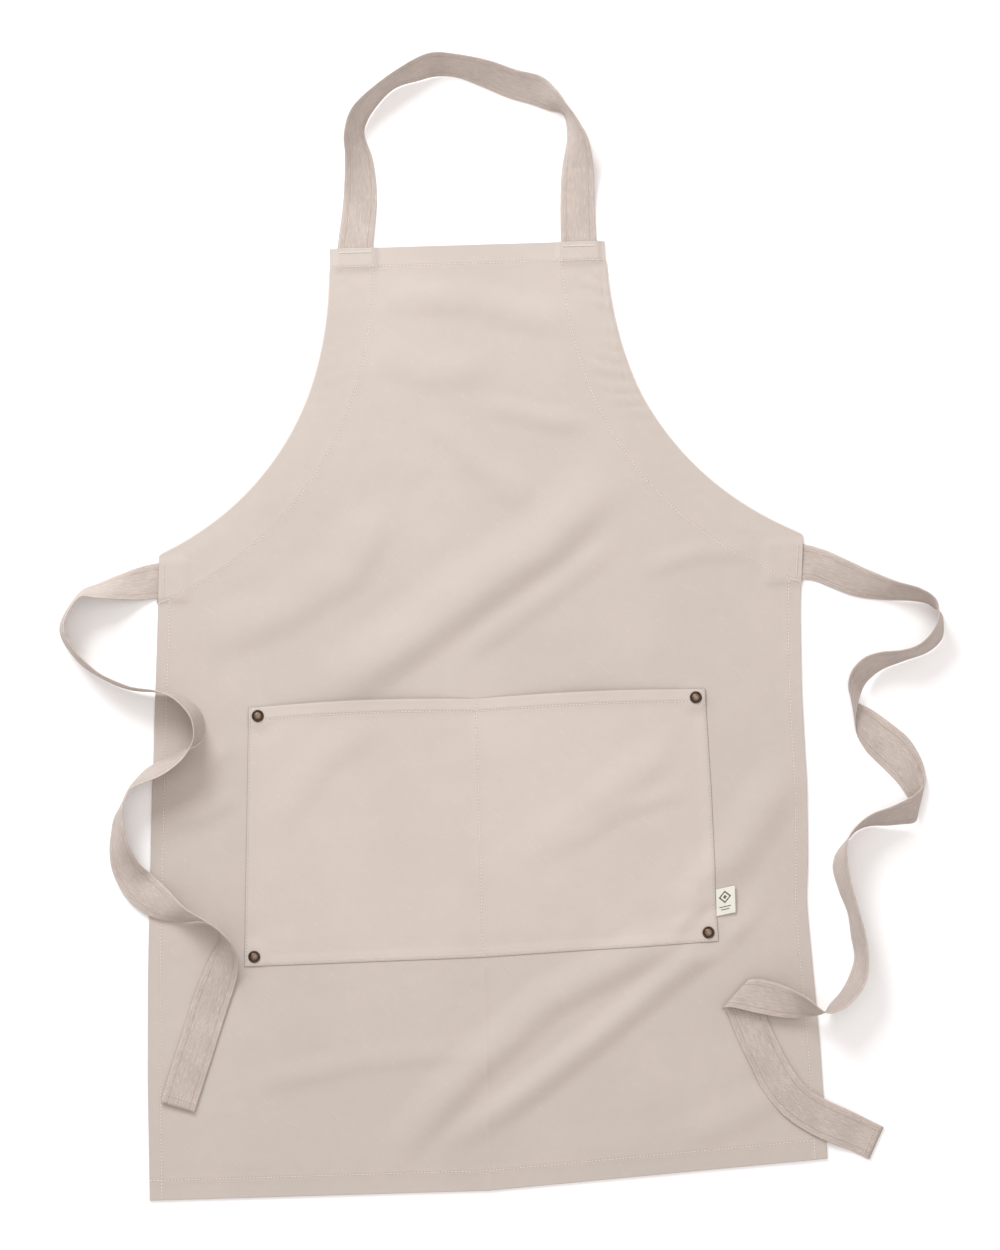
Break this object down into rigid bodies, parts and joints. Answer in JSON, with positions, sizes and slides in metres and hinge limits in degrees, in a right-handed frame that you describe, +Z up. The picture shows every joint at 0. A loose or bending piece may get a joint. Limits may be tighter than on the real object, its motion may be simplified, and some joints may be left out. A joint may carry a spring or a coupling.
{
  "type": "artist smock apron",
  "caption": "Full-length cotton bib apron with faced armholes, a wide riveted two-compartment pocket, a neck strap and long waist ties, laid out flat.",
  "frame": {"origin": "bottom centre of the apron as it lies on its back, without the two free waist ties", "axes": "+Z up out of the cloth's face, +Y from the hem to the neck, +X to the right of someone looking at the face"},
  "size_m": [0.804, 1.0326, 0.0391],
  "materials": {
    "twill": "natural cotton twill, matte",
    "tape": "coarse woven cotton tape, matte",
    "thread": "pale cotton sewing thread",
    "bronze": "antique bronze, dark and softly shiny",
    "label_cloth": "off-white woven label"
  },
  "bodies": {
    "apron": {"body_panel": "twill", "pocket_panel": "twill", "armhole_facing_left": "twill", "armhole_facing_right": "twill", "neck_strap_end_left": "tape", "neck_strap_end_right": "tape", "tie_end_left": "tape", "tie_end_right": "tape", "waist_tie_left": "tape", "waist_tie_right": "tape", "facing_seam_left": "thread", "facing_seam_right": "thread", "side_hem_seam_left": "thread", "side_hem_seam_right": "thread", "pocket_mouth_seam_left": "thread", "pocket_mouth_seam_right": "thread", "strap_bartack_left": "thread", "strap_bartack_right": "thread", "tie_bartack_left": "thread", "tie_bartack_right": "thread", "top_hem_seam": "thread", "bottom_hem_seam": "thread", "pocket_edge_seam": "thread", "pocket_divider_seam": "thread", "tie_tip_seam_left": "thread", "tie_tip_seam_right": "thread", "rivet_cap_top_left": "bronze", "rivet_cap_top_right": "bronze", "rivet_cap_bottom_left": "bronze", "rivet_cap_bottom_right": "bronze", "rivet_post_top_left": "bronze", "rivet_post_top_right": "bronze", "rivet_post_bottom_left": "bronze", "rivet_post_bottom_right": "bronze"},
    "neck_loop": {"neck_strap": "tape"},
    "label": {"side_label": "label_cloth"}
  },
  "joints": [
    {"name": "neck_loop_fold", "type": "hinge", "parent": "apron", "child": "neck_loop", "pos_m": [0.0055, 0.3459, 0.0038], "axis": [1, 0, 0], "range_deg": [0, 165]},
    {"name": "label_flip", "type": "hinge", "parent": "apron", "child": "label", "pos_m": [0.21435, -0.25925, 0.004], "axis": [0, -1, 0], "range_deg": [0, 150]}
  ]
}
